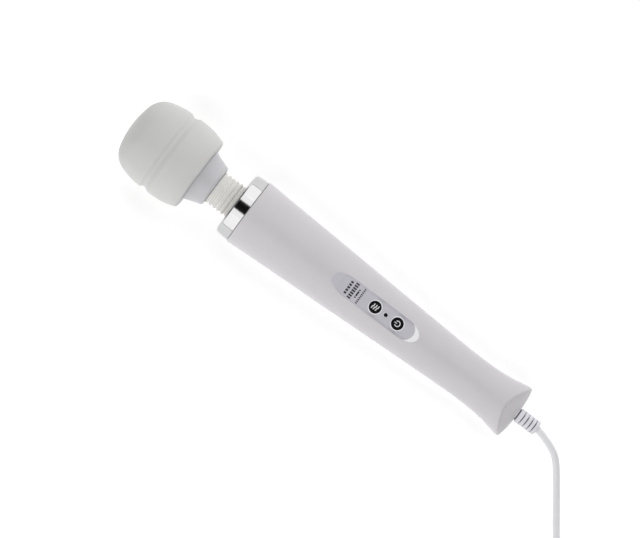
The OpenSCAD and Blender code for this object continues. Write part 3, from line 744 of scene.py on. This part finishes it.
def panel():
    """Thin printed panel on the pocket's floor."""
    rows = outline(PW + 0.5, P0 + 2.2, P1 + 0.25, 20, 60, 0, 0)
    nx = 20
    verts = []
    for low in (0, 1):
        for z, h, push in rows:
            h = max(h, 0.01)
            for k in range(nx + 1):
                t = 2 * k / nx - 1
                x = h * (t + 0.12 * math.sin(math.pi * t))
                reach = h if z < P1 - PW else PW / 2 + 0.25
                climb = ease((1.35 - reach + abs(x)) / 1.25)
                y = film_y(x, z)
                verts.append((x, y + (skin_y(x, z) + 0.04 - y) * climb - 0.5 * low, z))
    ob = build("control_panel_film", verts, slab_faces(len(rows), nx + 1), M_PANEL, wand=False,
               slot="panel_plastic", replaces=["control_panel"])
    for z in (MODE_Z, POWER_Z):
        cut(ob, post(BR + 0.2, 5, 30, z))
    cut(ob, post(1.4, 5, 30, LENS_Z))
    ob.data.transform(LAY)
    smooth(ob, 32)
    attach(ob, "handle")
    return ob


panel()


def button_top(r, top, dish=0.18):
    """Height of the button's gently dished top at radius r."""
    return top - dish * (1 - (r / 3.4) ** 2) if r < 3.4 else top


def button(name, z, body, node):
    """Push button with a flange under the shell; gives the height of its top."""
    top = floor_y(0, z) + 0.55
    prof = [(0.01, 11.4), (2.2, 11.4), (2.2, top - 4.6), (BR + 0.7, top - 4.6), (BR + 0.7, top - 3.9)]
    prof += [(BR, top - 3.9), (BR, top - 0.5)] + arc(BR - 0.45, top - 0.47, 0.45, 0, 80, 8)
    prof += [(3.4, top)] + [(r, button_top(r, top)) for r in (3.0, 2.4, 1.8, 1.2, 0.6, 0.01)]
    turned(name, prof, M_BLACK, z, body=body, replaces=[node], slot="button_black")
    return top


def stroke(name, pts, width, ys, mat, body, thick=0.05):
    """Flat raised line of a print along points (x, z), on the height function ys."""
    P = [Vector(p) for p in pts]
    n = len(P)
    verts, faces = [], []
    for i, p in enumerate(P):
        t = (P[min(i + 1, n - 1)] - P[max(i - 1, 0)]).normalized()
        s = Vector((-t.y, t.x)) * width / 2
        for q in (p + s, p - s):
            for low in (0, 1):
                verts.append((q.x, ys(q.x, q.y) - 0.3 * low + thick, q.y))
    for i in range(n - 1):
        a, b = 4 * i, 4 * (i + 1)
        faces += [(a, a + 2, b + 2, b), (a + 1, b + 1, b + 3, a + 3), (a, b, b + 1, a + 1),
                  (a + 2, a + 3, b + 3, b + 2)]
    faces += [(0, 1, 3, 2), (4 * n - 4, 4 * n - 2, 4 * n - 1, 4 * n - 3)]
    return build(name, verts, faces, mat, body=body)


for key, z, node in (("mode", MODE_Z, "mode_button"), ("power", POWER_Z, "power_button")):
    top = button(key + "_button_cap", z, key + "_key", node)

    def on_button(x, zz):
        return button_top(math.hypot(x, zz - z), top)

    if key == "mode":
        for i in range(3):
            pts = [(-1.9 + 0.19 * k, z + (i - 1) * 1.65 + 0.06 * (k - 10) + 0.22 * math.sin(math.pi * k / 5))
                   for k in range(21)]
            stroke("mode_icon_%d" % i, pts, 0.66, on_button, M_WHITE, "mode_key")
    else:
        pts = [(1.85 * math.sin(math.radians(a)), z - 1.85 * math.cos(math.radians(a)))
               for a in range(38, 323, 10)]
        stroke("power_icon_arc", pts, 0.6, on_button, M_WHITE, "power_key")
        pts = [(0, z - 2.3), (0, z - 1.4), (0, z - 0.3)]
        stroke("power_icon_bar", pts, 0.5, on_button, M_WHITE, "power_key")
    y = floor_y(0, z)
    prof = [(BR + 0.1, y - 0.4), (BR + 0.1, y + 0.2)] + arc(BR + 0.45, y + 0.12, 0.34, 160, 0, 8)
    prof += [(BR + 0.79, y - 0.4)]
    turned(key + "_halo", prof, M_HALO, z, body="handle", slot="panel_plastic")

yl = floor_y(0, LENS_Z)
prof = [(0.01, 9.0), (1.3, 9.0), (1.3, yl + 0.12)] + arc(1.05, yl + 0.12, 0.25, 0, 80, 4)
prof += [(0.6, yl + 0.42), (0.01, yl + 0.46)]
turned("indicator_lens_dome", prof, M_BLACK, LENS_Z, body="handle", replaces=["indicator_lens"],
       slot="lens_black", seg=48)
prof = [(1.4, yl - 0.3), (1.4, yl + 0.15)] + arc(1.52, yl + 0.12, 0.12, 160, 0, 4) + [(1.64, yl - 0.3)]
turned("lens_halo", prof, M_HALO, LENS_Z, body="handle", seg=48, slot="panel_plastic")


def tail_ramp():
    """Crescent slope between the pocket's floor and the skin, at the tail's end: the slope is real, its pale
    trim colour is a painted highlight.
    """
    r = PW / 2
    n, m = 48, 8
    verts = []
    for low in (0, 1):
        for i in range(n + 1):
            a = math.radians(-88 + 176 * i / n)
            x = r * math.sin(a)
            z = P1 - r + r * math.cos(a)
            push = RAMP_TAIL * math.cos(a) ** 1.6
            for k in range(m + 1):
                t = k / m
                zz = z - 0.2 + (push + 0.25) * t
                y = floor_y(x, z) + (skin_y(x, z + push) - floor_y(x, z)) * t
                verts.append((x * (1 + 0.01 * t), y + 0.13 * (1 - t) + 0.05 - 0.4 * low, zz))
    # pale trim colour on the ramp: painted highlight of the slope that faces the light
    return build("panel_tail_ramp_painted_highlight", verts, slab_faces(n + 1, m + 1), M_HALO, body="handle",
                 slot="panel_plastic", sharp=60)


tail_ramp()

# plain printed marks in the place of the rows of print: bars and dots, no letters
def mark_row(key, count, first, step, half, z, width):
    for k in range(count):
        x = first + step * k
        pts = [(x - half, z), (x, z), (x + half, z)]
        stroke("mark_%s_%d" % (key, k), pts, width, film_y, M_MARK, "handle", 0.03)


mark_row("a", 5, -4.2, 2.1, 0.7, 180.9, 1.9)
mark_row("b", 7, -5.4, 1.8, 0.6, 184.7, 2.7)
BAR = [(-3.3, 188.1), (-1, 188.1), (1, 188.1), (3.3, 188.1)]
stroke("mark_bar", BAR, 1.1, film_y, M_MARK, "handle", 0.03)
mark_row("c", 9, -5.4, 1.35, 0.4, 190.9, 1.3)


# ---------------------------------------------------------------- the CAD's own inner parts
FINISHES = {"rubber": dict(rough=0.7, spec=0.3, grain=(1500, 0.015)),
            "matte_plastic": dict(rough=0.5, grain=(2000, 0.01)),
            "gloss_plastic": dict(rough=0.18, spec=0.6, grain=(1200, 0.004)),
            "chrome": dict(rough=0.08, metallic=1.0, grain=(900, 0.003)),
            "brushed_steel": dict(rough=0.35, metallic=1.0, streak=(300, 3000, 3000)),
            "brass": dict(rough=0.25, metallic=1.0, streak=(300, 3000, 3000))}
inner = {m["slot"]: material("cad_" + m["slot"], m["base_color"], **FINISHES[m["class"]])
         for m in frame["record"]["materials"]}
for part in frame["record"]["subparts"]:
    node = frame["nodes"][part["node"]]
    if not node.hide_render:
        node.data.materials.clear()
        node.data.materials.append(inner[part["material_slot"]])


# ---------------------------------------------------------------- floor and light
def plane(name, size, matrix, mat):
    me = bpy.data.meshes.new(name)
    s = size
    corners = [(-s[0], -s[1], 0), (s[0], -s[1], 0), (s[0], s[1], 0), (-s[0], s[1], 0)]
    me.from_pydata(corners, [], [(0, 1, 2, 3)])
    me.materials.append(mat)
    o = bpy.data.objects.new(name, me)
    o.matrix_world = matrix
    bpy.context.scene.collection.objects.link(o)
    return o


M_FLOOR = material("paper", (0.94, 0.94, 0.94), 0.9, spec=0.1, tint=0.003, grain=(500, 0.004), mottle=4)
M_FLOOR.node_tree.nodes["Principled BSDF"].inputs["Emission Color"].default_value = (1, 1, 1, 1)
M_FLOOR.node_tree.nodes["Principled BSDF"].inputs["Emission Strength"].default_value = 0.32
plane("floor", (6, 6), Matrix.Identity(4), M_FLOOR)
w = bpy.data.worlds.new("world")
bpy.context.scene.world = w
w.use_nodes = True
w.node_tree.nodes["Background"].inputs["Color"].default_value = (1, 1, 1, 1)
w.node_tree.nodes["Background"].inputs["Strength"].default_value = 0.15


def area(name, x, dist, ang, sx, sy, power):
    """Softbox beside the wand, parallel to its axis; ang is off the vertical towards +x."""
    d = bpy.data.lights.new(name, "AREA")
    d.shape = "RECTANGLE"
    d.size, d.size_y = sx, sy
    d.energy = power
    o = bpy.data.objects.new(name, d)
    a = math.radians(ang)
    z = Vector((math.sin(a), 0, math.cos(a)))
    x_ax = Vector((math.cos(a), 0, -math.sin(a)))
    o.matrix_world = Matrix.Translation(z * dist + Vector((x, 0, 0))) @ Matrix((
        (x_ax.x, 0, z.x, 0), (x_ax.y, 1, z.y, 0), (x_ax.z, 0, z.z, 0), (0, 0, 0, 1)))
    bpy.context.scene.collection.objects.link(o)
    return o


for side in (-1, 1):
    area("softbox_inner", 0, 1.5, side * 28, 0.58, 2.6, 6.2)
    area("softbox_outer", 0, 1.5, side * 63, 1.36, 2.6, 15.6)
bpy.context.scene.view_settings.view_transform = "Standard"
M_FLAG = material("flag_cloth", (0.01, 0.01, 0.01), 0.95, spec=0.0, tint=0.1, grain=(300, 0.01))
flag = plane("flag", (0.74, 1.6), Matrix.Translation((-0.05, 0, 2.9)), M_FLAG)
flag.visible_camera = False
flag.visible_shadow = False
flag.visible_diffuse = False
